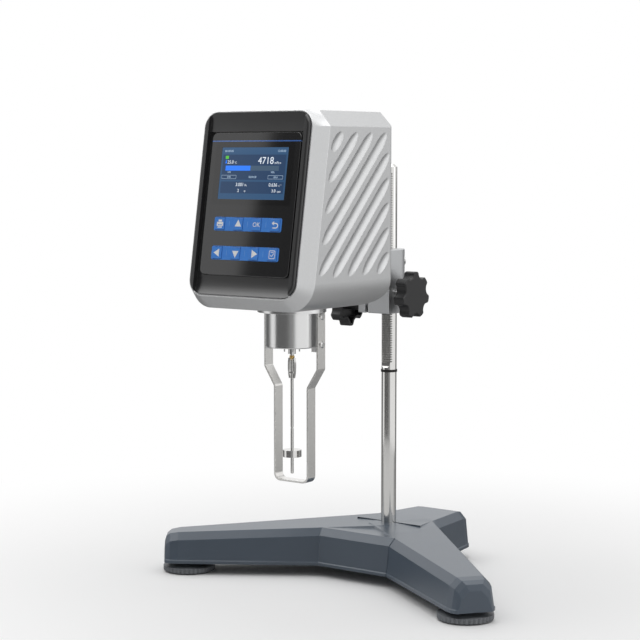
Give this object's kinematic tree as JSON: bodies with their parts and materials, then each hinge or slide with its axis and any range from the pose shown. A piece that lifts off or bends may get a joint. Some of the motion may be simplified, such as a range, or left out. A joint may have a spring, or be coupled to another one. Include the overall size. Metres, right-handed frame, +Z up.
{
  "type": "rotational viscometer",
  "caption": "Bench rotational viscometer: fluted head with screen and keys, sprung spindle in a guard, rack-and-pinion column and three-legged cast stand.",
  "frame": {"origin": "on the bench, at the middle of the whole instrument's footprint", "axes": "+Z up along the column, the screen faces -Y, +X to the right of someone facing the screen"},
  "size_m": [0.412, 0.3643, 0.4875],
  "materials": {
    "base_paint": "blue-grey satin enamel on a casting",
    "stainless": "drawn and polished stainless steel",
    "turned_steel": "turned, fine circular grain",
    "black_rubber": "matt rubber",
    "foot_plastic": "dark grey moulded, knurled rim",
    "bracket_metal": "bead-blasted and anodised",
    "head_paint": "brushed silver coat, satin",
    "bezel_black": "black moulded, semi gloss",
    "panel_glass": "black-backed glossy panel",
    "screen": "lit colour display",
    "key_blue": "blue moulded keys, satin",
    "knob_black": "black moulded, fine texture",
    "screw_steel": "bright plated",
    "board_green": "glass-fibre board with green lacquer",
    "inner_metal": "milled",
    "panel_metal": "fine black powder coat",
    "brass": "turned brass",
    "spring_steel": "blued spring strip",
    "socket_black": "black moulded",
    "level_green": "clear vial over green fluid"
  },
  "bodies": {
    "stand": {"base_casting": "base_paint", "column": "stainless", "column_bolt": "screw_steel", "stop_ring": "black_rubber"},
    "head": {"lift_bracket": "bracket_metal", "pinion_bush": "bracket_metal", "guide_screw": "screw_steel", "plate_cap_screws": "screw_steel", "head_shell": "head_paint", "front_bezel": "bezel_black", "front_glass": "panel_glass", "display": "screen", "upper_key_strip": "key_blue", "lower_key_strip": "key_blue", "keypad_board": "board_green", "main_board": "board_green", "chassis": "inner_metal", "gear_motor": "inner_metal", "power_supply": "inner_metal", "bearing_housing": "turned_steel", "shaft_bearings": "brass", "bearing_nut": "turned_steel", "optical_sensor": "socket_black", "guard_lugs": "turned_steel", "spindle_guard": "stainless", "guard_screws": "screw_steel", "level_ring": "socket_black", "level_vial": "level_green", "rear_panel": "panel_metal", "rear_panel_screws": "screw_steel", "power_inlet": "socket_black", "switch_frame": "socket_black", "serial_port": "screw_steel", "probe_socket": "socket_black"},
    "lift_drive": {"pinion_shaft": "stainless", "lift_knob": "knob_black"},
    "clamp": {"clamp_screw": "screw_steel", "clamp_knob": "knob_black"},
    "rotor": {"drive_shaft": "stainless", "encoder_disc": "inner_metal", "torsion_spring": "spring_steel", "coupling_nut": "brass", "coupling_clip": "stainless", "spindle": "stainless"},
    "key_print": {"key_print": "key_blue"},
    "key_up": {"key_up": "key_blue"},
    "key_ok": {"key_ok": "key_blue"},
    "key_return": {"key_return": "key_blue"},
    "key_left": {"key_left": "key_blue"},
    "key_down": {"key_down": "key_blue"},
    "key_right": {"key_right": "key_blue"},
    "key_menu": {"key_menu": "key_blue"},
    "power_switch": {"switch_rocker": "socket_black"},
    "front_left_foot": {"front_left_foot": "foot_plastic", "front_left_foot_pad": "black_rubber"},
    "front_right_foot": {"front_right_foot": "foot_plastic", "front_right_foot_pad": "black_rubber"},
    "rear_foot": {"rear_foot": "foot_plastic", "rear_foot_pad": "black_rubber"}
  },
  "joints": [
    {"name": "head_lift", "type": "slide", "parent": "stand", "child": "head", "axis": [0, 0, 1], "range_m": [-0.06, 0.08]},
    {"name": "lift_turn", "type": "hinge", "parent": "head", "child": "lift_drive", "pos_m": [0, 0.05726, 0.3], "axis": [1, 0, 0], "range_deg": [-575, 432]},
    {"name": "clamp_turn", "type": "hinge", "parent": "head", "child": "clamp", "pos_m": [0, 0.04946, 0.2888], "axis": [1, 0, 0], "range_deg": [-180, 0]},
    {"name": "spindle_spin", "type": "hinge", "parent": "head", "child": "rotor", "pos_m": [0, -0.09954, 0.2], "axis": [0, 0, 1], "continuous": true},
    {"name": "key_print_press", "type": "slide", "parent": "head", "child": "key_print", "axis": [0, 0.9867, -0.1628], "range_m": [0, 0.0006], "stiffness_N_per_m": 1500, "springref_m": -0.0003},
    {"name": "key_up_press", "type": "slide", "parent": "head", "child": "key_up", "axis": [0, 0.9867, -0.1628], "range_m": [0, 0.0006], "stiffness_N_per_m": 1500, "springref_m": -0.0003},
    {"name": "key_ok_press", "type": "slide", "parent": "head", "child": "key_ok", "axis": [0, 0.9867, -0.1628], "range_m": [0, 0.0006], "stiffness_N_per_m": 1500, "springref_m": -0.0003},
    {"name": "key_return_press", "type": "slide", "parent": "head", "child": "key_return", "axis": [0, 0.9867, -0.1628], "range_m": [0, 0.0006], "stiffness_N_per_m": 1500, "springref_m": -0.0003},
    {"name": "key_left_press", "type": "slide", "parent": "head", "child": "key_left", "axis": [0, 0.9867, -0.1628], "range_m": [0, 0.0006], "stiffness_N_per_m": 1500, "springref_m": -0.0003},
    {"name": "key_down_press", "type": "slide", "parent": "head", "child": "key_down", "axis": [0, 0.9867, -0.1628], "range_m": [0, 0.0006], "stiffness_N_per_m": 1500, "springref_m": -0.0003},
    {"name": "key_right_press", "type": "slide", "parent": "head", "child": "key_right", "axis": [0, 0.9867, -0.1628], "range_m": [0, 0.0006], "stiffness_N_per_m": 1500, "springref_m": -0.0003},
    {"name": "key_menu_press", "type": "slide", "parent": "head", "child": "key_menu", "axis": [0, 0.9867, -0.1628], "range_m": [0, 0.0006], "stiffness_N_per_m": 1500, "springref_m": -0.0003},
    {"name": "power_rocker", "type": "hinge", "parent": "head", "child": "power_switch", "pos_m": [-0.024, -0.03954, 0.407], "axis": [1, 0, 0], "range_deg": [-16, 0]},
    {"name": "front_left_foot_level", "type": "slide", "parent": "stand", "child": "front_left_foot", "axis": [0, 0, -1], "range_m": [0, 0.004]},
    {"name": "front_right_foot_level", "type": "slide", "parent": "stand", "child": "front_right_foot", "axis": [0, 0, -1], "range_m": [0, 0.004]},
    {"name": "rear_foot_level", "type": "slide", "parent": "stand", "child": "rear_foot", "axis": [0, 0, -1], "range_m": [0, 0.004]}
  ],
  "couplings": [
    {"joint": "lift_turn", "follows": "head_lift", "rad_per_m": -125}
  ]
}
